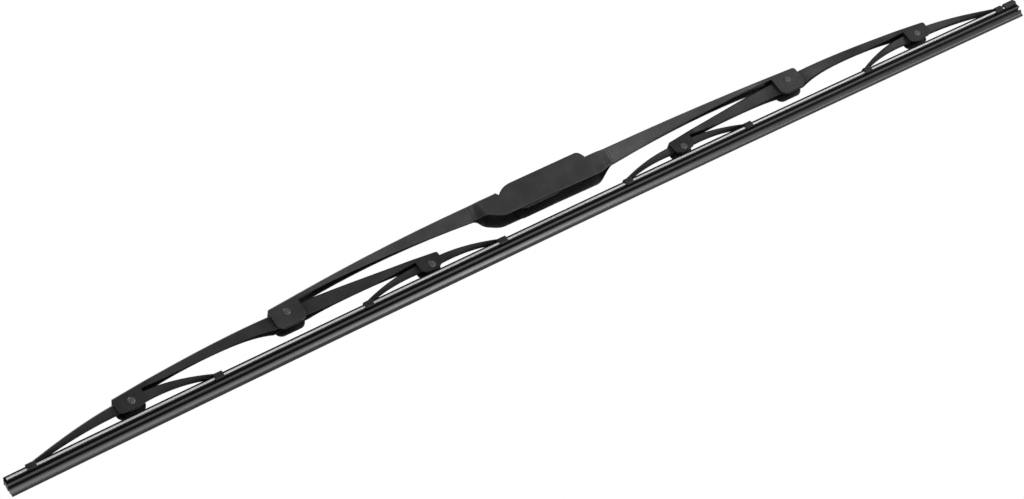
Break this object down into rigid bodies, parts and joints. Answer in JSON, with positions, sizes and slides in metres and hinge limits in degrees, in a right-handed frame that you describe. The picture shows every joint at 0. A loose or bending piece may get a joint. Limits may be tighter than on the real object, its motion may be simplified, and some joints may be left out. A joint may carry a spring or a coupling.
{
  "type": "wiper blade",
  "caption": "Framed windscreen wiper blade: a steel bridge with nested pressed yokes whose claws carry a rubber lip on two flat spring rails.",
  "frame": {"origin": "middle of the cross pin that carries the wiper arm's hook adapter", "axes": "+X along the blade, +Y across it, +Z away from the glass"},
  "size_m": [0.6502, 0.0134, 0.038],
  "materials": {
    "black_paint": "satin black paint",
    "rivet_metal": "black zinc",
    "spring_steel": "bright rolled strip",
    "wiper_rubber": "matte with a smooth lip",
    "black_plastic": "fine moulded grain"
  },
  "bodies": {
    "main": {"main_bridge": "black_paint", "adapter_pin": "black_paint", "wiper_rubber": "wiper_rubber", "rail_front": "spring_steel", "rail_rear": "spring_steel", "secondary_saddle_left": "black_plastic", "secondary_rivet_left": "rivet_metal", "secondary_saddle_right": "black_plastic", "secondary_rivet_right": "rivet_metal"},
    "adapter": {"hook_adapter": "black_plastic"},
    "secondary_left": {"secondary_bridge_left": "black_paint", "claw_saddle_outer_left": "black_plastic", "claw_rivet_outer_left": "rivet_metal", "claw_saddle_inner_left": "black_plastic", "claw_rivet_inner_left": "rivet_metal"},
    "claw_outer_left": {"claw_bridge_outer_left": "black_paint"},
    "claw_inner_left": {"claw_bridge_inner_left": "black_paint"},
    "secondary_right": {"secondary_bridge_right": "black_paint", "claw_saddle_outer_right": "black_plastic", "claw_rivet_outer_right": "rivet_metal", "claw_saddle_inner_right": "black_plastic", "claw_rivet_inner_right": "rivet_metal"},
    "claw_outer_right": {"claw_bridge_outer_right": "black_paint", "rail_end_sleeve": "black_plastic"},
    "claw_inner_right": {"claw_bridge_inner_right": "black_paint"}
  },
  "joints": [
    {"name": "adapter_pivot", "type": "hinge", "parent": "main", "child": "adapter", "pos_m": [0, 0, 0], "axis": [0, 1, 0], "range_deg": [-12, 12]},
    {"name": "secondary_left_pivot", "type": "hinge", "parent": "main", "child": "secondary_left", "pos_m": [-0.16265, 0, -0.00404], "axis": [0, -1, 0], "range_deg": [-3, 4], "stiffness_Nm_per_rad": 1.3, "deforming": ["wiper_rubber", "rail_front", "rail_rear"]},
    {"name": "claw_outer_left_pivot", "type": "hinge", "parent": "secondary_left", "child": "claw_outer_left", "pos_m": [-0.25385, 0, -0.01204], "axis": [0, -1, 0], "range_deg": [-1.7, 2.25]},
    {"name": "claw_inner_left_pivot", "type": "hinge", "parent": "secondary_left", "child": "claw_inner_left", "pos_m": [-0.0819, 0, -0.0141], "axis": [0, -1, 0], "range_deg": [-2.1, 1.6]},
    {"name": "secondary_right_pivot", "type": "hinge", "parent": "main", "child": "secondary_right", "pos_m": [0.16265, 0, -0.00404], "axis": [0, 1, 0], "range_deg": [-3, 4], "stiffness_Nm_per_rad": 1.3},
    {"name": "claw_outer_right_pivot", "type": "hinge", "parent": "secondary_right", "child": "claw_outer_right", "pos_m": [0.25385, 0, -0.01204], "axis": [0, 1, 0], "range_deg": [-1.7, 2.25]},
    {"name": "claw_inner_right_pivot", "type": "hinge", "parent": "secondary_right", "child": "claw_inner_right", "pos_m": [0.0819, 0, -0.0141], "axis": [0, 1, 0], "range_deg": [-2.1, 1.6]}
  ],
  "couplings": [
    {"joint": "claw_outer_left_pivot", "follows": "secondary_left_pivot", "ratio": 0.5515},
    {"joint": "claw_inner_left_pivot", "follows": "secondary_left_pivot", "ratio": -0.512},
    {"joint": "secondary_right_pivot", "follows": "secondary_left_pivot", "ratio": 1},
    {"joint": "claw_outer_right_pivot", "follows": "secondary_left_pivot", "ratio": 0.5515},
    {"joint": "claw_inner_right_pivot", "follows": "secondary_left_pivot", "ratio": -0.512}
  ]
}
